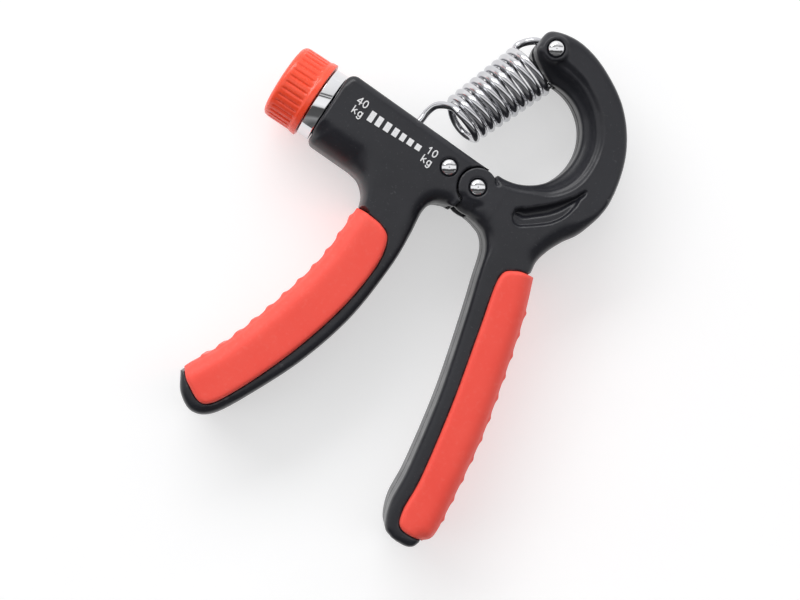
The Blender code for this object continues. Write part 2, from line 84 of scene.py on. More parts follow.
# In degrees: where the barrel's shell ends beside the pivot, and how far the handles close
SEAM_ANGLE = -107
SQUEEZE = 32

# Round the pivot: the ear, and the web that slides in a pocket under the barrel's shell
EAR_R = 5.0
GAP = 0.3
WEB_R = 7.5
WEB_LAP = 0.6
WEB_SPARE_ANGLE = 5
WEB_DROP = 0.75
WEB_FILLET_R, WEB_FILLET = 7.9, 4.5
POCKET_GAP, POCKET_GAP_Z, POCKET_GAP_ANGLE = 0.8, 0.17, 8
POCKET_INNER_R, POCKET_END_ANGLE = 4.9, -142.5

# Blends: a wall with the face above it, a small outer edge, and a small inner corner
WALL_K, EDGE_K, CORNER_K = 0.7, 0.3, 0.2

PIN_BORE_R, HEAD_BORE_R = 1.75, 2.4
PAD_GAP = 0.08
BARREL_END = -43.5
SCREW_Y = -3.4
BARREL_RIVET = (-9.0, 0.2)
SPRING_PIN = (-2.8, 41.0)
ANCHOR = (-21.35, 2.6)
ARM_SCREW = (23.2, 19.0)
COIL_LOW = np.array((-13.0, 12.45, 0.0))
COIL_HIGH = np.array((-5.04, 34.16, 0.0))
HOOK_CENTRE = (3.2, 19.8)
HOOK_R = 14.1

# Rooms inside the barrel, from the lowest to the highest (x, y)
NUT_ROOM, NUT_ROOM_R = ((-39.8, -11.6), (-13.5, 4.2)), 9.9
BLOCK_ROOM, BLOCK_Z = ((-13.7, -6.7), (-7.8, 3.8)), 6.8
SPRING_SLOT = ((-35.8, 3), (-16.5, 20))
# Round bores in the barrel's end wall: radius, the x where each ends, and the blend
END_BORES = ((8.3, -41.8, EDGE_K), (4.3, -38.8, CORNER_K))


# Outlines


def arc(centre, radius, start, end, step=3.0):
    count = max(2, round(abs(end - start) / step))
    angles = np.radians(np.linspace(start, end, count + 1))
    return [(centre[0] + radius * math.cos(a), centre[1] + radius * math.sin(a)) for a in angles]


def smooth(points, steps=10):
    """Points on a smooth curve through the given points."""
    points = np.array(points, float)
    ends = np.vstack([2 * points[0] - points[1], points, 2 * points[-1] - points[-2]])
    t = np.linspace(0, 1, steps, endpoint=False)[:, None]
    curve = []
    for a, b, c, d in zip(ends, ends[1:], ends[2:], ends[3:]):
        bend = (2 * a - 5 * b + 4 * c - d) * t**2 + (3 * b - a - 3 * c + d) * t**3
        curve += list(0.5 * (2 * b + (c - a) * t + bend))
    return [tuple(p) for p in curve] + [tuple(points[-1])]


LEFT_INNER = smooth(
    [(-4.6, -8.1), (-7.3, -9.6), (-8.3, -13), (-7.6, -20), (-7.3, -30), (-8.7, -46), (-13, -62),
     (-19.5, -77), (-24.6, -86.2), (-29.6, -88.9), (-34.6, -86.5), (-37.9, -81.6)]
)
LEFT_CORE = smooth(
    [(-35.2, -80.2), (-32, -72.5), (-26.8, -61), (-23.2, -50), (-20.6, -37), (-20, -21)]
)
RIGHT_INNER = smooth(
    [(4.7, -7.8), (7.9, -9.0), (10.7, -12.5), (13, -20), (16, -30), (21.3, -50), (25, -70),
     (26, -80), (28.4, -86), (31, -87.4)]
)
RIGHT_FOOT = smooth([(33, -87.6), (35.8, -87.3), (37.4, -86.2), (38.0, -84.4)])
RIGHT_CORE = smooth(
    [(37.2, -82), (36.4, -72), (33.7, -53), (29.7, -36), (25.6, -20.8), (22.5, -12.6)]
)
ARM_OUTER = smooth(
    [(-7.5, 39.9), (-6.2, 44.6), (1.3, 46.4), (10.4, 44.2), (20.5, 38), (27.6, 28.3), (30.8, 15.7),
     (29.1, 5.6), (26.2, 0.4), (24.4, -3.6), (23.5, -7.4), (23.8, -10.8)]
)
BARREL_TOP = arc((BARREL_END + 2.5, 4.3), 2.5, 180, 90)
BARREL_TOP += smooth([(-20, 6.1), (-2, 5.5), (0.28, 5.78)])
BARREL_LOW = smooth([(-22.8, -20.8), (-24, -18), (-26.8, -15.5), (-30, -14.7)])
BARREL_CORNER = arc((BARREL_END + 1.6, -12.8), 1.6, 270, 180)
LEFT_OUTLINE = (
    BARREL_TOP + arc((0, 0), EAR_R + GAP, 87, 360 + SEAM_ANGLE) + [(-2.3, -7.55)]
    + LEFT_INNER + LEFT_CORE + BARREL_LOW + BARREL_CORNER
)
TIP_INNER = smooth([(-6.9, 38.3), (-5.0, 36.7), (-2, 35.1)])
HOOK_HOLE = arc(HOOK_CENTRE, HOOK_R, 97, -92)
RIGHT_OUTLINE = (
    arc((0, 0), EAR_R + GAP, 62, SEAM_ANGLE + SQUEEZE + 1) + [(2.1, -7.4)]
    + RIGHT_INNER + RIGHT_FOOT + RIGHT_CORE + ARM_OUTER[::-1] + TIP_INNER + HOOK_HOLE
)
LEFT_PAD_EDGE = smooth(
    [(-20, -21.2), (-15, -21.9), (-11.8, -24.4), (-10.5, -32), (-12, -45.5), (-16.5, -62),
     (-23, -78), (-28, -85.2), (-34, -83.2), (-37.7, -80.2)]
)
LEFT_PAD_SIDE = smooth(
    [(-37.7, -80.2), (-32, -68.6), (-26.4, -50.5), (-23.4, -36), (-23, -21.3)]
)
RIGHT_PAD_EDGE = smooth(
    [(25, -11.2), (20, -12.6), (17.4, -16.5), (20.5, -30), (25.3, -50), (29, -70), (29.8, -80),
     (32, -84), (38.4, -84)]
)
RIGHT_PAD_SIDE = smooth(
    [(38.4, -84), (40.3, -81), (39.5, -72), (36.7, -53), (32.7, -36), (28.6, -21), (25, -11.2)]
)
CRESCENT_END = arc((13.6, -0.4), 2.3, 100, 290)
CRESCENT_LOW = smooth([CRESCENT_END[-1], (18, 0.1), (21.3, 3.2), (23.3, 7.4), (24, 14.5)])
CRESCENT_HIGH = smooth([(24, 14.5), (22.3, 11.6), (18.8, 7.3), (15, 3.6), CRESCENT_END[0]])
TIP_FORK = [(-10, 31), (3.0, 31), (3.0, 35), (2.8, 48), (-10, 48)]
EAR = arc((0, 0), EAR_R, 62, 287) + [(2.2, -6.6), (7, -6), (7, 4.4)]
TONGUE = arc((0, 0), EAR_R, -138, 95) + [(-7, 4.2), (-7, -3.2)]
# Where the barrel's round lower flank meets its flat face, and where the hook's inner hollow starts
FLANK_TOP = smooth(
    [(-50, -4.2), (-31, -4.3), (-28, -5), (-25.3, -7.3), (-23.2, -11), (-21.8, -15), (-20.6, -19),
     (-19.5, -24)]
)
HOLLOW_TOP = smooth(
    [(-6, 38.5), (0, 40), (5, 39.6), (10, 38), (16.8, 33.4), (21, 27.4), (22.5, 20), (21.4, 13.6),
     (17.5, 8.5), (13, 6.3), (9, 4.4), (5, 3.3), (1.5, 3.6), (0.3, 4.6)]
)


# Fields on a grid


class Grid:
    """Grid points in a box, in millimetres."""

    def __init__(self, low, high, step):
        self.low, self.step = np.array(low, float), step
        axes = [a + step * np.arange(math.ceil((b - a) / step) + 1) for a, b in zip(low, high)]
        self.x, self.y, self.z = np.ix_(*axes)
        plan = np.meshgrid(axes[0], axes[1], indexing="ij")
        self.shape = plan[0].shape
        self.plan = np.stack([p.ravel() for p in plan], 1)

    def along(self, line):
        """Distance of each (x, y) from an open line, and its nearest point's place along it."""
        line = np.array(line, float)
        best = np.full(len(self.plan), 1e9)
        place = np.zeros(len(self.plan))
        gone = 0.0
        for p, q in zip(line, line[1:]):
            d = q - p
            length = math.hypot(*d)
            if length < 1e-6:
                continue
            r = self.plan - p
            t = np.clip(r @ d / length**2, 0, 1)
            r -= t[:, None] * d
            far = (r * r).sum(1)
            nearer = far < best
            best[nearer] = far[nearer]
            place[nearer] = gone + t[nearer] * length
            gone += length
        return np.sqrt(best).reshape(self.shape), place.reshape(self.shape)

    def away(self, line):
        return self.along(line)[0]

    def from_edge(self, line, walls):
        """Distance of each (x, y) from a line of the outline, held at 0 just outside the walls."""
        far = self.away(line)
        return np.where((walls > 0) & (far < 1.2), 0, far)

    def signed(self, outline):
        """Distance of each (x, y) from an outline, negative inside it."""
        outline = list(outline) + [outline[0]]
        far = self.away(outline)
        x, y = self.plan.T
        inside = np.zeros(len(x), bool)
        for (ax, ay), (bx, by) in zip(outline, outline[1:]):
            if ay != by:
                crosses = (ay > y) != (by > y)
                inside ^= crosses & (x < ax + (y - ay) / (by - ay) * (bx - ax))
        return np.where(inside.reshape(self.shape), -far, far)

    def radius(self, centre):
        return np.hypot(self.x[:, :, 0] - centre[0], self.y[:, :, 0] - centre[1])


def smooth_max(a, b, k):
    blend = np.maximum(k - np.abs(a - b), 0) / k
    return np.maximum(a, b) + blend * blend * k / 4


def smooth_min(a, b, k):
    return -smooth_max(-a, -b, k)


def step_up(value, start, end):
    t = np.clip((value - start) / (end - start), 0, 1)
    return t * t * (3 - 2 * t)


def fall(distance, width, drop):
    """How far a rounded edge has dropped at a distance from it."""
    t = 1 - np.minimum(distance / width, 1)
    return drop * (1 - np.sqrt(1 - t * t))


def chamfer(distance, width, drop):
    """How far a bevelled edge has dropped at a distance from it."""
    return drop * (1 - np.minimum(distance / width, 1))


def blurred(plan, step, width):
    reach = math.ceil(2.5 * width / step)
    weights = np.exp(-0.5 * (np.arange(-reach, reach + 1) * step / width) ** 2)
    weights /= weights.sum()
    for axis in (0, 1):
        padded = np.pad(plan, [(reach, reach) if axis == a else (0, 0) for a in (0, 1)], "edge")
        size = plan.shape[axis]
        plan = sum(w * np.take(padded, range(i, i + size), axis) for i, w in enumerate(weights))
    return plan


def under(z, height, step):
    """Field of the space under a height map, scaled to be near a distance."""
    slope = np.hypot(*np.gradient(height, step))
    return (z - height[:, :, None]) / np.sqrt(1 + slope * slope)[:, :, None]


def between(value, low, high):
    return np.maximum(low - value, value - high)


def rectangle(grid, low, high):
    return np.maximum(between(grid.x, low[0], high[0]), between(grid.y, low[1], high[1]))


def slab(grid, plan, low, high, k=EDGE_K):
    """An outline's field cut to a range of z."""
    return smooth_max(plan[:, :, None], between(grid.z, low, high), k)


def sample(field, places):
    """The field at places given in grid steps."""
    top = np.array(field.shape) - 1.001
    places = np.clip(places, 0, top)
    base = places.astype(int)
    fx, fy, fz = (places - base).T
    i, j, k = base.T
    total = 0
    for di, wx in ((0, 1 - fx), (1, fx)):
        for dj, wy in ((0, 1 - fy), (1, fy)):
            for dk, wz in ((0, 1 - fz), (1, fz)):
                total = total + wx * wy * wz * field[i + di, j + dj, k + dk]
    return total


def level_surface(grid, field):
    """(points in millimetres, quads) of the field's zero level."""
    inside = field < 0
    size = [n - 1 for n in field.shape]
    count = sum(
        inside[i : size[0] + i, j : size[1] + j, k : size[2] + k].astype(np.int8)
        for i in (0, 1) for j in (0, 1) for k in (0, 1)
    )
    active = (count > 0) & (count < 8)
    cells = np.argwhere(active)
    index = np.full(active.shape, -1)
    index[active] = np.arange(len(cells))
    total, crossings = np.zeros((len(cells), 3)), np.zeros(len(cells))
    quads = []
    for axis in range(3):
        unit = np.eye(3, dtype=int)[axis]
        side, up = np.eye(3, dtype=int)[(axis + 1) % 3], np.eye(3, dtype=int)[(axis + 2) % 3]
        for corner in (0 * unit, side, up, side + up):
            a = cells + corner
            b = a + unit
            fa, fb = field[tuple(a.T)], field[tuple(b.T)]
            crosses = (fa < 0) != (fb < 0)
            t = np.where(crosses, fa / np.where(crosses, fa - fb, 1), 0)
            total[crosses] += (a + t[:, None] * unit)[crosses]
            crossings += crosses
        ahead = inside.take(range(field.shape[axis] - 1), axis)
        behind = inside.take(range(1, field.shape[axis]), axis)
        edges = np.argwhere(ahead != behind)
        others = [a for a in range(3) if a != axis]
        away_from_rim = np.all(
            [(edges[:, a] > 0) & (edges[:, a] < field.shape[a] - 1) for a in others], 0
        )
        edges = edges[away_from_rim]
        out = ahead[tuple(edges.T)]
        corners = [edges - s * side - u * up for s, u in ((1, 1), (0, 1), (0, 0), (1, 0))]
        ring = np.stack([index[tuple(corner.T)] for corner in corners], 1)
        ring[~out] = ring[~out][:, ::-1]
        quads.append(ring)
    # The points settle on the level itself, in grid steps
    places = total / crossings[:, None]
    start = places.copy()
    reach, share, farthest = 0.4, 0.9, 0.7
    for _ in range(4):
        value = sample(field, places)
        further = [sample(field, places + reach * e) for e in np.eye(3)]
        nearer = [sample(field, places - reach * e) for e in np.eye(3)]
        slope = (np.stack(further, 1) - np.stack(nearer, 1)) / (2 * reach)
        steep = np.maximum((slope * slope).sum(1), 1e-6)
        places -= share * (value / steep)[:, None] * slope
        places = np.clip(places, start - farthest, start + farthest)
    return grid.low + places * grid.step, np.concatenate(quads)


# Meshes


def mesh_object(name, points, faces, material, body):
    """A smooth-shaded piece from points in millimetres about the pivot."""
    mesh = bpy.data.meshes.new(name)
    placed = np.array(points, float) * MM + np.array(PIVOT)
    mesh.from_pydata(placed.tolist(), [], [list(map(int, f)) for f in faces])
    mesh.shade_smooth()
    mesh.materials.append(material)
    obj = bpy.data.objects.new(name, mesh)
    bpy.context.scene.collection.objects.link(obj)
    if body:
        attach(obj, body)
    return obj


def moulded(name, grid, field, material, body, mirrored=False):
    points, quads = level_surface(grid, field)
    if mirrored:
        points = points * (1, 1, -1)
        quads = quads[:, ::-1]
    return mesh_object(name, points, quads, material, body)


def turned(name, profile, centre, axis, material, body, segments=96, shape=None):
    """A turned piece. The profile holds (distance along the axis, radius) pairs, and shape may
    change the radius with the angle. Ends at radius 0 close to a point, and others join up."""
    axis = Vector(axis).normalized()
    turn = np.array(axis.to_track_quat("Z", "Y").to_matrix())
    angles = np.arange(segments) * 2 * math.pi / segments
    points, rows = [], []
    for along, radius in profile:
        if radius < 1e-6:
            rows.append([len(points)])
            points.append((0, 0, along))
            continue
        rows.append(list(range(len(points), len(points) + segments)))
        radii = radius + (shape(along, radius, angles) if shape else 0 * angles)
        row = [radii * np.cos(angles), radii * np.sin(angles), along + 0 * angles]
        points += list(np.stack(row, 1))
    faces = []
    ring = len(rows[0]) > 1
    for row, after in zip(rows, rows[1:] + (rows[:1] if ring else [])):
        for i in range(segments):
            j = (i + 1) % segments
            corners = [row[i % len(row)], row[j % len(row)]]
            corners += [after[j % len(after)], after[i % len(after)]]
            faces.append(list(dict.fromkeys(corners)))
    placed = np.array(points, float) @ turn.T + np.array(centre, float)
    return mesh_object(name, placed, faces, material, body)


def rounded(profile, radius=0.25, steps=4):
    """The profile with each inner corner turned into a small arc."""
    points = [np.array(p, float) for p in profile]
    made = [points[0]]
    for before, here, after in zip(points, points[1:], points[2:]):
        back, on = np.linalg.norm(before - here), np.linalg.norm(after - here)
        near = min(radius, 0.45 * back, 0.45 * on)
        a = here + near * (before - here) / back
        b = here + near * (after - here) / on
        for i in range(steps + 1):
            t = i / steps
            made.append((1 - t) ** 2 * a + 2 * t * (1 - t) * here + t * t * b)
    return made + [points[-1]]


# Materials


def node_material(name):
    material = bpy.data.materials.new(name)
    material.use_nodes = True
    tree = material.node_tree
    return material, tree, tree.nodes["Principled BSDF"]


def noise(tree, scale, detail=3.0, roughness=0.5):
    place = tree.nodes.new("ShaderNodeTexCoord")
    texture = tree.nodes.new("ShaderNodeTexNoise")
    texture.inputs["Scale"].default_value = scale
    texture.inputs["Detail"].default_value = detail
    texture.inputs["Roughness"].default_value = roughness
    tree.links.new(place.outputs["Object"], texture.inputs["Vector"])
    return texture.outputs["Fac"]


def ramp(tree, source, stops):
    node = tree.nodes.new("ShaderNodeValToRGB")
    elements = node.color_ramp.elements
    while len(elements) < len(stops):
        elements.new(0.5)
    for element, (place, colour) in zip(elements, stops):
        element.position = place
        element.color = (*colour, 1) if len(colour) == 3 else (colour[0],) * 3 + (1,)
    tree.links.new(source, node.inputs["Fac"])
    return node.outputs["Color"]


def mixed(tree, factor, a, b, blend="MIX"):
    node = tree.nodes.new("ShaderNodeMix")
    node.data_type, node.blend_type = "RGBA", blend
    for value, socket in ((factor, node.inputs[0]), (a, node.inputs[6]), (b, node.inputs[7])):
        if isinstance(value, bpy.types.NodeSocket):
            tree.links.new(value, socket)
        elif isinstance(value, tuple):
            socket.default_value = (*value, 1)
        else:
            socket.default_value = value
    return node.outputs[2]


def bumps(tree, shader, layers):
    """Chained bumps. Layers are (source, height in metres) pairs."""
    normal = None
    for source, height in layers:
        node = tree.nodes.new("ShaderNodeBump")
        node.inputs["Strength"].default_value = 1.0
        node.inputs["Distance"].default_value = height
        tree.links.new(source, node.inputs["Height"])
        if normal:
            tree.links.new(normal, node.inputs["Normal"])
        normal = node.outputs["Normal"]
    tree.links.new(normal, shader.inputs["Normal"])


def edge_wear(tree, start, end):
    """Bright on sharp outer edges, broken up by noise."""
    geometry = tree.nodes.new("ShaderNodeNewGeometry")
    edges = ramp(tree, geometry.outputs["Pointiness"], [(start, (0,)), (end, (1,))])
    patches = ramp(tree, noise(tree, 420, 4, 0.6), [(0.42, (0,)), (0.62, (1,))])
    return mixed(tree, 1.0, edges, patches, "MULTIPLY")


def black_plastic():
    material, tree, shader = node_material("moulded_black_plastic")
    tones = [(0.3, (0.012, 0.0125, 0.0165)), (0.75, (0.0185, 0.019, 0.0245))]
    cloud = ramp(tree, noise(tree, 55, 4, 0.55), tones)
    speck = ramp(tree, noise(tree, 1500, 2), [(0.64, (0,)), (0.76, (1,))])
    colour = mixed(tree, speck, cloud, (0.032, 0.033, 0.038))
    worn = mixed(tree, edge_wear(tree, 0.515, 0.56), colour, (0.07, 0.07, 0.075))
    tree.links.new(worn, shader.inputs["Base Color"])
    rough = ramp(tree, noise(tree, 260, 4, 0.6), [(0.3, (0.28,)), (0.7, (0.38,))])
    tree.links.new(rough, shader.inputs["Roughness"])
    shader.inputs["Specular IOR Level"].default_value = 0.42
    bumps(tree, shader, [(noise(tree, 3600, 2), 0.000012), (noise(tree, 300, 3), 0.00003)])
    return material


def rubber():
    material, tree, shader = node_material("soft_orange_rubber")
    tones = [(0.3, (0.97, 0.076, 0.050)), (0.75, (1.0, 0.098, 0.066))]
    cloud = ramp(tree, noise(tree, 70, 3), tones)
    dust = ramp(tree, noise(tree, 900, 3), [(0.55, (0,)), (0.8, (0.35,))])
    tree.links.new(mixed(tree, dust, cloud, (1.0, 0.17, 0.125)), shader.inputs["Base Color"])
    rough = ramp(tree, noise(tree, 240, 4, 0.6), [(0.3, (0.50,)), (0.7, (0.64,))])
    tree.links.new(rough, shader.inputs["Roughness"])
    shader.inputs["Sheen Weight"].default_value = 0.08
    shader.inputs["Sheen Roughness"].default_value = 0.5
    shader.inputs["Subsurface Weight"].default_value = 0.06
    shader.inputs["Subsurface Radius"].default_value = (0.002, 0.0006, 0.0004)
    bumps(tree, shader, [(noise(tree, 2600, 2), 0.00002), (noise(tree, 240, 3), 0.00005)])
    return material


def gloss_plastic():
    material, tree, shader = node_material("gloss_orange_plastic")
    tones = [(0.3, (0.96, 0.070, 0.024)), (0.75, (1.0, 0.090, 0.034))]
    cloud = ramp(tree, noise(tree, 90, 3), tones)
    worn = mixed(tree, edge_wear(tree, 0.53, 0.60), cloud, (1.0, 0.26, 0.16))
    tree.links.new(worn, shader.inputs["Base Color"])
    rough = ramp(tree, noise(tree, 500, 4, 0.6), [(0.3, (0.22,)), (0.7, (0.34,))])
    tree.links.new(rough, shader.inputs["Roughness"])
    shader.inputs["Coat Weight"].default_value = 0.1
    shader.inputs["Coat Roughness"].default_value = 0.12
    bumps(tree, shader, [(noise(tree, 700, 3), 0.00002)])
    return material


def metal(name, colour, other, rough, scratch):
    material, tree, shader = node_material(name)
    shader.inputs["Metallic"].default_value = 1.0
    tint = ramp(tree, noise(tree, 130, 3), [(0.3, colour), (0.75, other)])
    tree.links.new(tint, shader.inputs["Base Color"])
    spread = ramp(tree, noise(tree, 900, 4, 0.65), [(0.3, (rough[0],)), (0.75, (rough[1],))])
    tree.links.new(spread, shader.inputs["Roughness"])
    bumps(tree, shader, [(noise(tree, 260, 3), scratch), (noise(tree, 3000, 2), scratch * 0.25)])
    return material


def nylon():
    material, tree, shader = node_material("milky_nylon")
    cloud = ramp(tree, noise(tree, 120, 3), [(0.3, (0.62, 0.60, 0.54)), (0.75, (0.72, 0.70, 0.65))])
    tree.links.new(cloud, shader.inputs["Base Color"])
    rough = ramp(tree, noise(tree, 500, 3), [(0.3, (0.38,)), (0.7, (0.5,))])
    tree.links.new(rough, shader.inputs["Roughness"])
    shader.inputs["Subsurface Weight"].default_value = 0.1
    shader.inputs["Subsurface Radius"].default_value = (0.001, 0.001, 0.0008)
    bumps(tree, shader, [(noise(tree, 1200, 2), 0.00003)])
    return material


def print_ink():
    material, tree, shader = node_material("white_print")
    tones = [(0.25, (0.55, 0.55, 0.56)), (0.42, (0.84, 0.84, 0.85))]
    tree.links.new(ramp(tree, noise(tree, 2200, 3, 0.6), tones), shader.inputs["Base Color"])
    rough = ramp(tree, noise(tree, 900, 3), [(0.3, (0.45,)), (0.7, (0.6,))])
    tree.links.new(rough, shader.inputs["Roughness"])
    bumps(tree, shader, [(noise(tree, 3000, 2), 0.00001)])
    return material


def floor_paper():
    material, tree, shader = node_material("pale_floor")
    tone = ramp(tree, noise(tree, 9, 3), [(0.3, (0.58, 0.58, 0.582)), (0.75, (0.61, 0.61, 0.611))])
    tree.links.new(tone, shader.inputs["Base Color"])
    shader.inputs["Roughness"].default_value = 0.75
    shader.inputs["Specular IOR Level"].default_value = 0.2
    shader.inputs["Emission Color"].default_value = (1, 1, 1, 1)
    shader.inputs["Emission Strength"].default_value = 0.5
    return material


BLACK = black_plastic()
RUBBER = rubber()
KNOB = gloss_plastic()
CHROME = metal("bright_chrome", (0.74, 0.745, 0.76), (0.80, 0.80, 0.81), (0.04, 0.09), 0.0000005)
WIRE = metal("plated_spring_wire", (0.55, 0.555, 0.58), (0.68, 0.68, 0.695), (0.06, 0.13), 0.000002)
STEEL = metal("zinc_plated_steel", (0.56, 0.57, 0.60), (0.68, 0.69, 0.71), (0.25, 0.42), 0.00002)
NYLON = nylon()
INK = print_ink()


# Barrel and left handle


def barrel_heights(grid, walls):
    x, y = grid.x[:, :, 0], grid.y[:, :, 0]
    drops = chamfer(grid.from_edge(BARREL_TOP, walls), 1.7, 1.25)
    end = grid.from_edge([(BARREL_END, -14), (BARREL_END, 6)], walls)
    drops = smooth_max(drops, fall(end, 2.0, 1.2), 0.5)
    # The lower flank curves round the adjusting screw's axis
    below = grid.signed(FLANK_TOP + [(-19.5, -30), (-60, -30), (-60, -4.2)]) < 0
    low_line = LEFT_CORE[-20:] + BARREL_LOW + BARREL_CORNER + [(BARREL_END - 6, -14.4)]
    edge = grid.from_edge(low_line, walls)
    top = grid.away(FLANK_TOP)
    t = np.where(below, edge / np.maximum(edge + top, 1e-6), 1)
    flank = 8.7 * (1 - np.sqrt(1 - (1 - t) ** 2)) * step_up(y, -26, -20)
    drops = smooth_max(drops, flank, 0.4)
    # The inner edge is rounder at the arch and at the handle's tip
    arch = step_up(y, -26, -13)
    tip = step_up(-y, 78, 84)
    inner = grid.from_edge(LEFT_INNER, walls)
    inner_drop = fall(inner, 2.3 + 2.2 * arch + 0.9 * tip, 2.3 + 2.2 * arch + 0.6 * tip)
    drops = smooth_max(drops, inner_drop, 0.6)
    crown = 0.15 * step_up(np.abs(y + 1), 9, 2) * step_up(x, -42, -30) * step_up(-x, 6, 14)
    return blurred(SHELL_Z - BARREL_DROP - drops + crown, grid.step, 0.25)


def polar(grid):
    """Radius and angle, in degrees, of each (x, y) about the pivot."""
    return grid.radius((0, 0)), np.degrees(np.arctan2(grid.y, grid.x))[:, :, 0]


def web_height(far):
    """Top of the hook's web, just below the barrel's fillet at the seam. It depends on the radius
    alone, so that the web slides under the barrel's shell."""
    return SHELL_Z - WEB_DROP - fall(np.maximum(WEB_FILLET_R - far, 0), WEB_FILLET, WEB_FILLET)


def cut_rivet_seat(grid, field, centre, seat, shank=PIN_BORE_R, head=HEAD_BORE_R):
    far = grid.radius(centre)[:, :, None]
    field = smooth_max(field, shank - far, CORNER_K)
    return smooth_max(field, -smooth_max(far - head, seat - grid.z, 0.15), EDGE_K)


def cut_pad_seat(grid, field, outline):
    """Leaves room for the part of a pad that lies on the handle's face."""
    pad = grid.signed(outline) - PAD_GAP
    return smooth_max(field, -np.maximum(pad[:, :, None], UNDER_PAD_Z - grid.z), CORNER_K)


def barrel_field(grid):
    walls = grid.signed(LEFT_OUTLINE)
    height = barrel_heights(grid, walls)
    x, y, z = grid.x, grid.y, grid.z
    field = smooth_max(walls[:, :, None], under(z, height, grid.step), WALL_K)
    tongue = slab(grid, grid.signed(TONGUE), -2, TONGUE_Z)
    field = smooth_min(field, tongue, CORNER_K)
    field = smooth_max(field, PARTING_Z - z, EDGE_K)
    # The round space for the nut, the block's seat and the spring's slot
    bore = np.hypot(y - SCREW_Y, z)
    ceiling = np.maximum(z - CAVITY_Z, np.where(y < SCREW_Y, bore - NUT_ROOM_R, z - NUT_ROOM_R))
    field = smooth_max(field, -smooth_max(rectangle(grid, *NUT_ROOM), ceiling, 0.5), EDGE_K)
    field = np.maximum(field, -np.maximum(rectangle(grid, *BLOCK_ROOM), z - BLOCK_Z))
    field = smooth_max(field, -np.maximum(rectangle(grid, *SPRING_SLOT), z - SLOT_Z), 0.35)
    for radius, end, k in END_BORES:
        field = smooth_max(field, -np.maximum(bore - radius, x - end), k)
    field = cut_rivet_seat(grid, field, BARREL_RIVET, COUNTERBORE_Z)
    far, angle = polar(grid)
    field = smooth_max(field, PIN_BORE_R - far[:, :, None], CORNER_K)
    # The pocket that the hook's web slides in
    side = between(angle, POCKET_END_ANGLE, SEAM_ANGLE + POCKET_GAP_ANGLE) * far * DEGREE
    sector = np.maximum(side, far - WEB_R - POCKET_GAP)
    pocket = np.maximum(sector[:, :, None], z - web_height(far)[:, :, None] - POCKET_GAP_Z)
    field = smooth_max(field, -np.maximum(pocket, (POCKET_INNER_R - far)[:, :, None]), CORNER_K)
    return cut_pad_seat(grid, field, LEFT_PAD_EDGE + LEFT_PAD_SIDE)


GRID = 0.36  # spacing of the grid's points
barrel_grid = Grid((-45, -91, -1.1), (7, 9, 12.6), GRID)
barrel = barrel_field(barrel_grid)
front = moulded(
    "barrel_front_moulding", barrel_grid, barrel, BLACK, "barrel_handle"
)
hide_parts("barrel_front_shell")
rear = moulded(
    "barrel_rear_moulding", barrel_grid, barrel, BLACK, "barrel_handle",
    mirrored=True,
)
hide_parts("barrel_rear_shell")


# Hook arm and right handle

# (place across, share of the depth), from the hole to the hollow's top line
HOLLOW_DEPTH = (
    (0, 1.0), (0.10, 0.94), (0.30, 0.80), (0.50, 0.52), (0.62, 0.27), (0.68, 0.23), (0.78, 0.25),
    (1.0, 0.0),
)
# (place across, depth), from the crescent's upper line to its lower line
CRESCENT_DEPTH = ((0, 0), (0.07, 1.8), (0.36, 2.3), (0.52, 1.2), (0.78, 0.9), (0.9, 1.5), (1, 0))


def hook_heights(grid, walls):
    x, y = grid.x[:, :, 0], grid.y[:, :, 0]
    face = SHELL_Z - 1.8 / 35 * np.clip(y - 6, 0, 40) + 0 * x
    lower_right = step_up(-y, -12, -3) * step_up(y, -14, -6)
    outer_edge = grid.from_edge(ARM_OUTER, walls)
    drops = fall(outer_edge, 2.4 + 3.4 * lower_right, 2.0 + 1.8 * lower_right)
    inner = step_up(-y, 8, 16)
    inner_edge = grid.from_edge([(2.1, -7.4)] + RIGHT_INNER, walls)
    drops = smooth_max(drops, fall(inner_edge, 4.2 - 2.1 * inner, 3.8 - 2.1 * inner), 0.6)
    drops = smooth_max(drops, fall(grid.from_edge(RIGHT_FOOT, walls), 2.2, 1.8), 0.5)
    # The hollow beside the hole
    hole = grid.away(TIP_INNER + HOOK_HOLE)
    top = grid.away(HOLLOW_TOP)
    within = grid.signed(HOLLOW_TOP[::-1] + [(-9, 37)] + TIP_INNER + HOOK_HOLE + [(0.3, 5.3)]) < 0
    within |= (walls > 0) & (hole < 2.5)
    t = np.where(within, np.where(walls > 0, 0, hole) / np.maximum(hole + top, 1e-6), 1)
    depth = np.minimum(6.5, 0.95 * (hole + top)) * step_up(x + 0.6 * y, 4.4, 6.4)
    drops = smooth_max(drops, depth * np.interp(t, *zip(*HOLLOW_DEPTH)), 0.3)
    upper = grid.away(CRESCENT_HIGH + CRESCENT_END[:20])
    lower = grid.away(CRESCENT_END[30:] + CRESCENT_LOW)
    u = upper / np.maximum(upper + lower, 1e-6)
    crescent = grid.signed(CRESCENT_END + CRESCENT_LOW + CRESCENT_HIGH) < 0
    drops = drops + np.where(crescent, np.interp(u, *zip(*CRESCENT_DEPTH)), 0)
    # The ear's rim and the face beside it come down to the web that slides under the barrel
    far, angle = polar(grid)
    beside = step_up(angle, SEAM_ANGLE - 25, SEAM_ANGLE - 5) * step_up(-angle, 30, 66)
    drops = drops + beside * step_up(far, 3.0, 5.3) * step_up(-far, -11, -8)
    return blurred(face - drops, grid.step, 0.30)


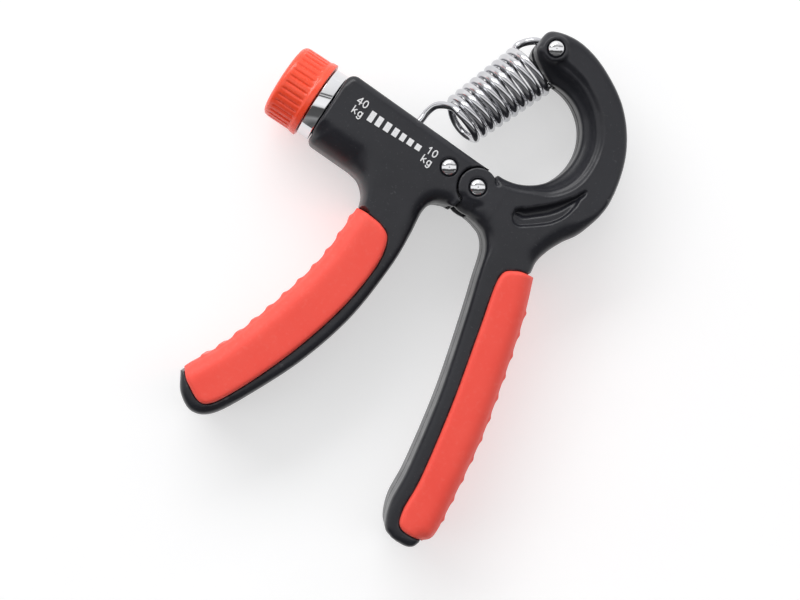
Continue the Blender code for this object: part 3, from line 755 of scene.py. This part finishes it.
def hook_field(grid):
    walls = grid.signed(RIGHT_OUTLINE)
    height = hook_heights(grid, walls)
    z = grid.z
    below_face = under(z, height, grid.step)
    field = smooth_max(walls[:, :, None], below_face, WALL_K)
    ear = smooth_max(grid.signed(EAR)[:, :, None], np.maximum(EAR_Z - z, below_face), 0.35)
    field = smooth_min(field, ear, EDGE_K)
    # The web starts at the seam and is long enough to stay under the barrel when the handles close
    far, angle = polar(grid)
    side = between(angle, SEAM_ANGLE, SEAM_ANGLE + SQUEEZE + WEB_SPARE_ANGLE) * far * DEGREE
    web = np.maximum(side, between(far, EAR_R - WEB_LAP, WEB_R))
    web_top = web_height(far)[:, :, None]
    web = smooth_max(web[:, :, None], between(z, EAR_Z, web_top), CORNER_K)
    field = smooth_min(field, web, WALL_K)
    field = smooth_max(field, PARTING_Z - z, EDGE_K)
    boss = slab(grid, grid.radius(SPRING_PIN) - 3.4, 4, TIP_BOSS_Z, 0.9)
    field = smooth_min(field, boss, 0.9)
    fork = grid.signed(TIP_FORK)[:, :, None]
    field = smooth_max(field, -np.maximum(fork, z - FORK_Z), EDGE_K)
    field = cut_rivet_seat(grid, field, (0, 0), COUNTERBORE_Z)
    field = cut_rivet_seat(grid, field, SPRING_PIN, TIP_SEAT_Z, shank=1.5)
    return cut_pad_seat(grid, field, RIGHT_PAD_EDGE + RIGHT_PAD_SIDE)


hook_grid = Grid((-10, -89.5, -1.1), (42, 48.5, 12.6), GRID)
hook = hook_field(hook_grid)
front = moulded("hook_front_moulding", hook_grid, hook, BLACK, "hook_handle")
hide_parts("hook_front_shell")
hook = cut_rivet_seat(hook_grid, hook, ARM_SCREW, SCREW_SEAT_Z, shank=1.2)
rear = moulded(
    "hook_rear_moulding", hook_grid, hook, BLACK, "hook_handle", mirrored=True,
)
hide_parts("hook_rear_shell")


# Grip pads

RIB_HEIGHT = 0.5
PAD_PLAY = 0.05


def pad_field(grid, edge_line, side_line, core, ribs):
    """A rubber sleeve whose C section wraps the handle. The ribs are given by their pitch and the
    places of the first and the last along the side."""
    edge, (side, place) = grid.away(edge_line), grid.along(side_line)
    drops = smooth_max(fall(edge, 1.3, 0.9), fall(side, 5.2, 4.6), 0.8)
    height = blurred(PAD_Z - drops, grid.step, 0.35)
    plan = grid.signed(edge_line + side_line[1:])
    z = np.abs(grid.z)
    pitch, first, last = ribs
    phase = (place - first) / pitch
    crest = np.exp(-(((phase - np.round(phase)) * pitch) ** 2))
    stretch = step_up(place, first - 1, first) * step_up(-place, -last - 1, -last)
    near = step_up(-side, -3.0, -0.5) * stretch
    rib = RIB_HEIGHT * (crest * near)[:, :, None] * step_up(-z, -9.5, -7.0)
    field = smooth_max(plan[:, :, None], under(z, height, grid.step), 1.0) - rib
    inside = np.maximum(
        grid.signed(core)[:, :, None] - PAD_PLAY, z - (UNDER_PAD_Z + PAD_PLAY)
    )
    return np.maximum(field, -inside)


def make_pad(name, low, high, outline, ribs, body, node):
    grid = Grid((*low, -13), (*high, 13), GRID)
    core = LEFT_OUTLINE if body == "barrel_handle" else RIGHT_OUTLINE
    pad = moulded(name, grid, pad_field(grid, *outline, core, ribs), RUBBER, body)
    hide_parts(node)


make_pad("left_pad", (-40, -88), (-8, -19.5), (LEFT_PAD_EDGE, LEFT_PAD_SIDE), (5.3, 5.4, 59),
         "barrel_handle", "left_grip_pad")
make_pad("right_pad", (15, -86.5), (43, -9), (RIGHT_PAD_EDGE, RIGHT_PAD_SIDE), (5.75, 8.2, 66),
         "hook_handle", "right_grip_pad")


# Nut, knob, collar and fasteners

nut_grid = Grid((-26, -12.2, -10), (-16.7, 5, 10), 0.3)
x, y, z = nut_grid.x, nut_grid.y, nut_grid.z
up, bore = np.abs(z), np.hypot(y - SCREW_Y, z)
sides = smooth_max(between(y, -11.3, 3.9), up - 8.9, 0.5)
nut = smooth_max(between(x, -25.1, -17.6), sides, 0.4)
nut = smooth_max(nut, np.where(y < SCREW_Y, bore - 9.6, up - 9.6), EDGE_K)
# The spring's slot, the steps beside it, the threaded bore and the anchor pin's hole
nut = smooth_max(nut, -np.maximum(SCREW_Y + 2 - y, up - SLOT_Z), CORNER_K)
nut = smooth_max(nut, -np.maximum(SCREW_Y + 4.2 - y, 5.2 - up), CORNER_K)
nut = smooth_max(nut, 3.2 - bore + 0 * x, CORNER_K)
nut = smooth_max(nut, 1.05 - np.hypot(x - ANCHOR[0], y - ANCHOR[1]) + 0 * z, CORNER_K)
piece = moulded("nut_moulding", nut_grid, nut, NYLON, "nut")
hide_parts("travelling_nut")

SCREW_AXIS = (0, SCREW_Y, 0)
KNOB_RIBS = 34
GROOVE_DEPTH, GROOVE_WIDTH = 0.34, 0.27


def knob_ribs(along, radius, angles):
    """Narrow grooves between the knob's ribs, on its straight side only."""
    side = step_up(along, -56.6, -55.2) * step_up(-along, 49.6, 50.2) * (radius > 9)
    phase = angles * KNOB_RIBS / (2 * math.pi)
    arc_length = (phase - np.round(phase)) * 2 * math.pi * radius / KNOB_RIBS
    return -GROOVE_DEPTH * side * np.exp(-((arc_length / GROOVE_WIDTH) ** 2))


knob_profile = rounded(
    [(-58.2, 0), (-58.17, 4.5), (-58.02, 8.2), (-57.72, 9.5), (-57.1, 10.2), (-56.2, 10.4),
     (-53.0, 10.42), (-49.6, 10.42), (-49.1, 10.68), (-47.6, 10.78), (-47.6, 9.3), (-48.9, 9.0),
     (-48.9, 5.5), (-43.6, 5.5), (-43.6, 3.2), (-47.8, 3.2), (-47.8, 5.3), (-52.0, 5.3),
     (-52.0, 0)],
    0.3,
)


def divided(profile, spacing):
    """The profile with points added so that none are much further apart than the spacing."""
    made = []
    for a, b in zip(profile, profile[1:]):
        count = max(1, round(np.linalg.norm(np.subtract(b, a)) / spacing))
        made += list(np.linspace(a, b, count, endpoint=False))
    return made + [profile[-1]]


knob = turned("ribbed_knob", divided(knob_profile, 0.45), SCREW_AXIS, (1, 0, 0), KNOB, "adjuster",
              KNOB_RIBS * 12, knob_ribs)
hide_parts("adjuster_knob")

collar_profile = rounded(
    [(-47.3, 6.0), (-47.3, 9.9), (-43.8, 9.9), (-43.8, 8.0), (-42.1, 8.0), (-42.1, 6.0),
     (-47.3, 6.0)],
    0.22,
)[:-1]
collar = turned("chrome_sleeve", collar_profile, SCREW_AXIS, (1, 0, 0), CHROME, "barrel_handle",
                144)
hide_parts("chrome_collar")


# (distance below the rivet's top, radius)
RIVET_DOME = ((0.05, 0), (0.035, 0.14), (0, 0.30), (0.03, 0.66), (0.16, 1.2), (0.42, 1.65),
              (0.72, 1.94), (1.0, 2.08), (1.2, 2.1))


def rivet(name, centre, shank, top, body, node):
    """A rivet with a low domed head at each end, and a small dimple where it was set."""
    dome = [(top - down, radius) for down, radius in RIVET_DOME + ((1.2, shank),)]
    profile = dome + [(-a, r) for a, r in dome[::-1]]
    piece = turned(
        name, rounded(profile, 0.2, 3), (*centre, 0), (0, 0, 1), CHROME, body, segments=72
    )
    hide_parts(node)


rivet("pivot_rivet_polished", (0, 0), 1.45, RIVET_Z, "barrel_handle", "pivot_rivet")
rivet("barrel_rivet_polished", BARREL_RIVET, 1.45, RIVET_Z, "barrel_handle", "barrel_rivet")
rivet("spring_rivet_polished", SPRING_PIN, 1.2, TIP_RIVET_Z, "hook_handle", "spring_rivet")

# The screw in the hook arm's rear face: a domed head with a tapered cross, and a plain shank
HEAD_Z = -9.1
CROSS_LENGTH, CROSS_WIDTH = 1.15, 0.24
screw_grid = Grid((*np.subtract(ARM_SCREW, 2.6), -9.6), (*np.add(ARM_SCREW, 2.6), 6.2), 0.14)
dx, dy = np.abs(screw_grid.x - ARM_SCREW[0]), np.abs(screw_grid.y - ARM_SCREW[1])
far, z = np.hypot(dx, dy), screw_grid.z
head = smooth_max(far - 2.1, np.maximum(HEAD_Z + 0.12 * far**2 / 2 - z, z + 8.1), 0.25)
shank = smooth_max(far - 1.0, np.maximum(-8.4 - z, z - 4.6 - (1 - far)), 0.15)
screw = smooth_min(head, shank, CORNER_K)
taper = 0.32 * np.clip(z - HEAD_Z, 0, 2)
arms = [
    np.maximum(a - CROSS_LENGTH + taper * 1.6, b - CROSS_WIDTH + taper * 0.3)
    for a, b in ((dx, dy), (dy, dx))
]
screw = smooth_max(screw, -np.maximum(np.minimum(*arms), z + 8.0), 0.12)
piece = moulded("arm_screw_head", screw_grid, screw, STEEL, "hook_handle")
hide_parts("hook_arm_screw")


# Spring

WIRE_R = 1.0
COIL_R = 6.15
COIL_GROWTH = 0.1  # what each turn adds to the radius
COIL_LEAN = 0.085
FIRST_DIP = 1.2
FIRST_TURN = 1.1  # how far along the axis the first turn starts
PITCH = 2.44
TURNS = 9
UPPER_SHARE = 0.62
SPLIT_TURN = TURNS * (1 - UPPER_SHARE)
LOW_TURN, HIGH_TURN = -0.30, 9.32

COIL_AXIS = (COIL_HIGH - COIL_LOW) / np.linalg.norm(COIL_HIGH - COIL_LOW)
COIL_SIDE = np.array((COIL_AXIS[1], -COIL_AXIS[0], 0.0))


def coil_point(turn):
    """A point of the right-handed coil. Whole turns are at its right-hand side. The coil widens
    upwards, its turns lean forwards, and the rear of its first turn sags."""
    angle = -2 * math.pi * turn
    forwards = np.array((0, 0, 1)) + COIL_LEAN * COIL_AXIS
    sweep = COIL_SIDE * math.cos(angle) + forwards * math.sin(angle)
    dip = FIRST_DIP * math.sin(angle) ** 2 if 0 < turn < 0.5 else 0
    centre = COIL_LOW + COIL_AXIS * (FIRST_TURN + PITCH * turn - dip)
    return centre + (COIL_R + COIL_GROWTH * turn) * sweep


def coil(start, end, steps=36):
    count = max(2, round(abs(end - start) * steps))
    return [coil_point(start + (end - start) * i / count) for i in range(count + 1)]


def around(centre, radius, start, end, step):
    """Points round a pin, at angles in degrees."""
    return [
        np.array((*centre, 0.0)) + radius * np.array((math.cos(a), math.sin(a), 0))
        for a in np.radians(np.arange(start, end, step))
    ]


def curve3(points, spacing=0.45):
    """Evenly spread points on a smooth curve through the given points."""
    dense = np.array(smooth(points, 24))
    gone = np.concatenate([[0], np.cumsum(np.linalg.norm(np.diff(dense, axis=0), axis=1))])
    marks = np.linspace(0, gone[-1], max(3, round(gone[-1] / spacing)))
    return [np.array([np.interp(m, gone, dense[:, i]) for i in range(3)]) for m in marks]


def wire_nodes():
    """Turns a line of points into a round wire, which stays as thick when the line moves."""
    tree = bpy.data.node_groups.new("round_wire", "GeometryNodeTree")
    tree.interface.new_socket("Geometry", in_out="INPUT", socket_type="NodeSocketGeometry")
    tree.interface.new_socket("Geometry", in_out="OUTPUT", socket_type="NodeSocketGeometry")
    source, sink = tree.nodes.new("NodeGroupInput"), tree.nodes.new("NodeGroupOutput")
    to_curve = tree.nodes.new("GeometryNodeMeshToCurve")
    circle = tree.nodes.new("GeometryNodeCurvePrimitiveCircle")
    circle.inputs["Resolution"].default_value = 20
    circle.inputs["Radius"].default_value = WIRE_R * MM
    to_mesh = tree.nodes.new("GeometryNodeCurveToMesh")
    to_mesh.inputs["Fill Caps"].default_value = True
    smooth_shade = tree.nodes.new("GeometryNodeSetShadeSmooth")
    paint = tree.nodes.new("GeometryNodeSetMaterial")
    paint.inputs["Material"].default_value = WIRE
    for a, b in (
        (source.outputs[0], to_curve.inputs["Mesh"]),
        (to_curve.outputs["Curve"], to_mesh.inputs["Curve"]),
        (circle.outputs["Curve"], to_mesh.inputs["Profile Curve"]),
        (to_mesh.outputs["Mesh"], smooth_shade.inputs["Geometry"]),
        (smooth_shade.outputs["Geometry"], paint.inputs["Geometry"]),
        (paint.outputs["Geometry"], sink.inputs[0]),
    ):
        tree.links.new(a, b)
    return tree


WIRE_NODES = wire_nodes()


def wire(name, path, bodies, start, end, *nodes):
    """A round wire along the path. The bodies, start and end are not used."""
    mesh = bpy.data.meshes.new(name)
    points = np.array(path) * MM + np.array(PIVOT)
    mesh.from_pydata(points.tolist(), [(i, i + 1) for i in range(len(points) - 1)], [])
    mesh.materials.append(WIRE)
    obj = bpy.data.objects.new(name, mesh)
    bpy.context.scene.collection.objects.link(obj)
    modifier = obj.modifiers.new("round_wire", "NODES")
    modifier.node_group = WIRE_NODES
    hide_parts(*nodes)
    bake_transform(obj)


split_point = COIL_LOW + COIL_AXIS * (FIRST_TURN + PITCH * SPLIT_TURN)
top_hook = curve3(
    [coil_point(HIGH_TURN), coil_point(HIGH_TURN + 0.1), (-11.4, 37.4, 1.0), (-10.4, 39.4, 0.3),
     (-8.0, 41.6, 0)]
    + around(SPRING_PIN, 2.45, 140, -41, -20) + [(0.9, 37.9, 0), (1.7, 35.5, 0), (1.15, 33.1, 0)]
)
wire("spring_top_wire", coil(SPLIT_TURN, HIGH_TURN) + top_hook[1:],
     ("spring_upper", "spring_middle"), COIL_HIGH + COIL_AXIS * 1.5, split_point,
     "spring_top_hook", "spring_coils_upper")
wire("spring_bottom_wire", coil(LOW_TURN, SPLIT_TURN), ("spring_middle", "spring_lower"),
     split_point, COIL_LOW - COIL_AXIS * 0.3, "spring_coils_lower")
LEG_BEND = (-20.6, 12.6, 1.2)
leg = curve3(
    [coil_point(LOW_TURN), coil_point(LOW_TURN - 0.06), (-18.7, 13.9, 2.6), LEG_BEND,
     (-21.5, 10.2, 0.3), (-21.7, 7.6, 0), (-22.4, 4.8, 0)] + around(ANCHOR, 1.95, 172, 351, 22)
)
wire("spring_leg_wire", leg, ("spring_lower", "spring_leg"), coil_point(LOW_TURN - 0.03), LEG_BEND,
     "spring_leg")


# Printed load scale

PRINT_Z = SHELL_Z + 0.02
PRINT_LOW, PRINT_HIGH = -0.05, 0.012  # of the flat patches
LETTER_MIDDLE, LETTER_HALF = -0.03, 0.05  # of the lettering


def printed(name, polygons):
    """Thin flat ink patches. Each polygon is a list of (x, y) points, going anticlockwise."""
    points, faces = [], []
    for polygon in polygons:
        n, first = len(polygon), len(points)
        for z in (PRINT_LOW, PRINT_HIGH):
            points += [(px, py, PRINT_Z + z) for px, py in polygon]
        faces.append(list(range(first + n, first + 2 * n)))
        faces.append(list(range(first + n - 1, first - 1, -1)))
        for i in range(n):
            here, there = first + i, first + (i + 1) % n
            faces.append([here, there, n + there, n + here])
    piece = mesh_object(name, points, faces, INK, "barrel_handle")
    piece.data.shade_flat()


def bar(left, right, height, corner=0.12):
    """Outline of a bar with small round corners, its middle at y = 0."""
    left, right, high = left + corner, right - corner, height / 2 - corner
    corners = ((right, high, 0), (left, high, 90), (left, -high, 180), (right, -high, 270))
    return [p for cx, cy, start in corners for p in arc((cx, cy), corner, start, start + 90, 30)]


BARS = ((-33.4, -31.9), (-31.1, -29.6), (-28.6, -27.0), (-26.1, -24.6), (-23.8, -22.4),
        (-21.6, -20.1), (-19.2, -17.7))
TALLEST_BAR, LOSS = 2.9, 1.3
printed(
    "scale_bars", [bar(a, b, TALLEST_BAR - LOSS * i / 6) for i, (a, b) in enumerate(BARS)]
)


def oval(x, y, width, height):
    angles = np.linspace(0, 2 * math.pi, 41)
    return [(x + width * math.cos(a), y + height * math.sin(a)) for a in angles]


# Lines in a box of 1 by 1. STROKE is half a line's width in millimetres.
STROKE = 0.165
GLYPHS = {
    "0": [oval(0.5, 0.5, 0.36, 0.5)],
    "1": [[(0.25, 0.76), (0.55, 1), (0.55, 0)]],
    "4": [[(0.68, 0), (0.68, 1), (0.08, 0.32), (0.95, 0.32)]],
    "k": [[(0.14, 0), (0.14, 1)], [(0.72, 0.66), (0.16, 0.26)], [(0.36, 0.4), (0.78, 0)]],
    "g": [oval(0.46, 0.34, 0.32, 0.33),
          [(0.8, 0.67), (0.8, -0.05)] + arc((0.48, -0.05), 0.32, 0, -150, 15)],
}


def lettering(name, text, left, low, wide, tall):
    """Generic numbers and units in plain strokes, each in a box of the given size."""
    grid = Grid(
        (left - 0.3, low - 0.45 * tall, PRINT_Z - 0.2),
        (left + wide * len(text) + 0.3, low + tall + 0.3, PRINT_Z + 0.14),
        0.062,
    )
    lines = [[(left + wide * (i + px * 0.92), low + tall * py) for px, py in line]
             for i, letter in enumerate(text) for line in GLYPHS[letter]]
    ink = np.min([grid.away(line) for line in lines], 0) - STROKE
    thickness = np.abs(grid.z - PRINT_Z - LETTER_MIDDLE) - LETTER_HALF
    field = np.maximum(ink[:, :, None], thickness)
    moulded(name, grid, field, INK, "barrel_handle")


lettering("scale_text_40", "40", -38.1, 0.85, 1.65, 1.85)
lettering("scale_unit_heavy", "kg", -37.9, -1.75, 1.65, 1.85)
lettering("scale_text_10", "10", -16.2, 0.1, 1.6, 1.8)
lettering("scale_unit_light", "kg", -16.2, -2.45, 1.6, 1.8)


# Materials of the CAD pieces that stay

STEEL_NODES = ("adjusting_screw", "thrust_washer", "retaining_clip", "anchor_pin",
               "left_upper_screw", "left_lower_screw", "right_upper_screw", "right_lower_screw")
NYLON_NODES = ("screw_bush", "bearing_block", "pivot_washer_front", "pivot_washer_rear")
for names, material in ((STEEL_NODES, STEEL), (NYLON_NODES, NYLON)):
    for name in names:
        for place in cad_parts[name].material_slots:
            place.material = material


# Floor, light and camera

# The photo's right and up, seen in the model's frame
RIGHT = Vector((0.834, 0.552, 0))
UP = Vector((-0.552, 0.834, 0))
FLOOR_HALF = 3.0  # in metres
CAMERA_PLACE = (-20, -40, 411.2)  # in millimetres from the pivot

floor_mesh = bpy.data.meshes.new("studio_floor")
corners = [(FLOOR_HALF * i, FLOOR_HALF * j, 0) for i, j in ((-1, -1), (1, -1), (1, 1), (-1, 1))]
floor_mesh.from_pydata(corners, [], [(0, 1, 2, 3)])
floor_mesh.materials.append(floor_paper())
floor = bpy.data.objects.new("studio_floor", floor_mesh)
bpy.context.scene.collection.objects.link(floor)


def area_light(name, place, target, size, power):
    data = bpy.data.lights.new(name, "AREA")
    data.shape = "RECTANGLE"
    data.size, data.size_y = size
    data.energy = power
    obj = bpy.data.objects.new(name, data)
    obj.location = place
    obj.rotation_mode = "QUATERNION"
    obj.rotation_quaternion = (Vector(target) - Vector(place)).to_track_quat("-Z", "Y")
    bpy.context.scene.collection.objects.link(obj)


area_light("key_softbox", UP * 1.2 - RIGHT * 0.5 + Vector((0, 0, 1.0)), (0, 0, 0), (1.8, 0.5), 14)

world = bpy.data.worlds.new("studio")
world.use_nodes = True
tree = world.node_tree
direction = tree.nodes.new("ShaderNodeTexCoord")
dot = tree.nodes.new("ShaderNodeVectorMath")
dot.operation = "DOT_PRODUCT"
dot.inputs[1].default_value = UP * 0.5
tree.links.new(direction.outputs["Generated"], dot.inputs[0])
shift = tree.nodes.new("ShaderNodeMath")
shift.operation = "ADD"
shift.inputs[1].default_value = 0.5
tree.links.new(dot.outputs["Value"], shift.inputs[0])
# (place from the photo's lower side to its upper side, brightness)
SKY = (
    (0.0, 0.16), (0.10, 0.10), (0.16, 0.28), (0.20, 0.09), (0.38, 0.07), (0.405, 0.75),
    (0.46, 0.98), (0.60, 0.92), (0.625, 0.85), (0.64, 0.10), (0.662, 0.10), (0.67, 0.75),
    (0.68, 0.75), (0.69, 0.12), (0.715, 0.14), (0.73, 0.75), (1.0, 0.98),
)
stops = [(place, (value, value, value * 1.01)) for place, value in SKY]
sky = ramp(tree, shift.outputs["Value"], stops)
background = tree.nodes["Background"]
tree.links.new(sky, background.inputs["Color"])
background.inputs["Strength"].default_value = 1.15
bpy.context.scene.world = world
bpy.context.scene.view_settings.view_transform = "Standard"

camera_data = bpy.data.cameras.new("camera")
camera_data.lens = 70.2
camera_data.sensor_width = 36
camera_data.shift_x = 0.0914
camera_data.shift_y = -0.0324
camera = bpy.data.objects.new("camera", camera_data)
bpy.context.scene.collection.objects.link(camera)
camera.location = PIVOT + Vector(CAMERA_PLACE) * MM
camera.rotation_euler = (0, 0, math.atan2(RIGHT.y, RIGHT.x))
bpy.context.scene.camera = camera
